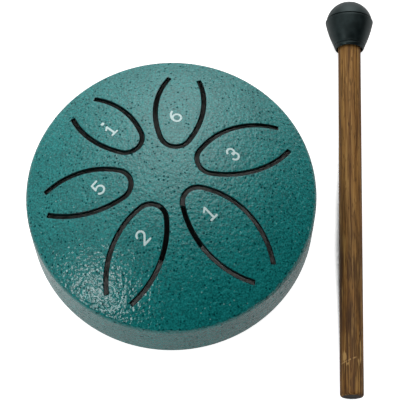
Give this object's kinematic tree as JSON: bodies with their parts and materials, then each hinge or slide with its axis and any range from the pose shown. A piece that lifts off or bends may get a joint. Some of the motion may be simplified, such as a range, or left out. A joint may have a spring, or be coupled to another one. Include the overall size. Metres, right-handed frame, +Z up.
{
  "type": "steel tongue drum",
  "caption": "Small round steel drum whose domed top is slotted into tuned tongues, with a sound hole and rubber feet underneath, beside its wooden mallet with a rubber head.",
  "frame": {"origin": "on the drum's axis, in the plane of the table that the feet stand on", "axes": "+Z up along the drum's axis, +Y along the mallet towards its head, +X from the drum to the mallet"},
  "size_m": [0.0991, 0.123, 0.0491],
  "materials": {
    "drum_paint": "teal powder coat with fine dark and light specks, orange-peel gloss",
    "foot_rubber": "matte black",
    "foot_tape": "adhesive film",
    "stick_wood": "brown stain, open grain",
    "head_rubber": "satin black"
  },
  "bodies": {
    "drum": {"upper_shell": "drum_paint", "lower_shell": "drum_paint", "seam_weld": "drum_paint", "foot_1": "foot_rubber", "foot_2": "foot_rubber", "foot_3": "foot_rubber", "foot_tape_1": "foot_tape", "foot_tape_2": "foot_tape", "foot_tape_3": "foot_tape"},
    "mallet": {"mallet_stick": "stick_wood", "mallet_head": "head_rubber"}
  },
  "joints": [
    {"name": "mallet_lift", "type": "slide", "parent": "drum", "child": "mallet", "axis": [0, 0, 1], "range_m": [0, 0.1]}
  ]
}
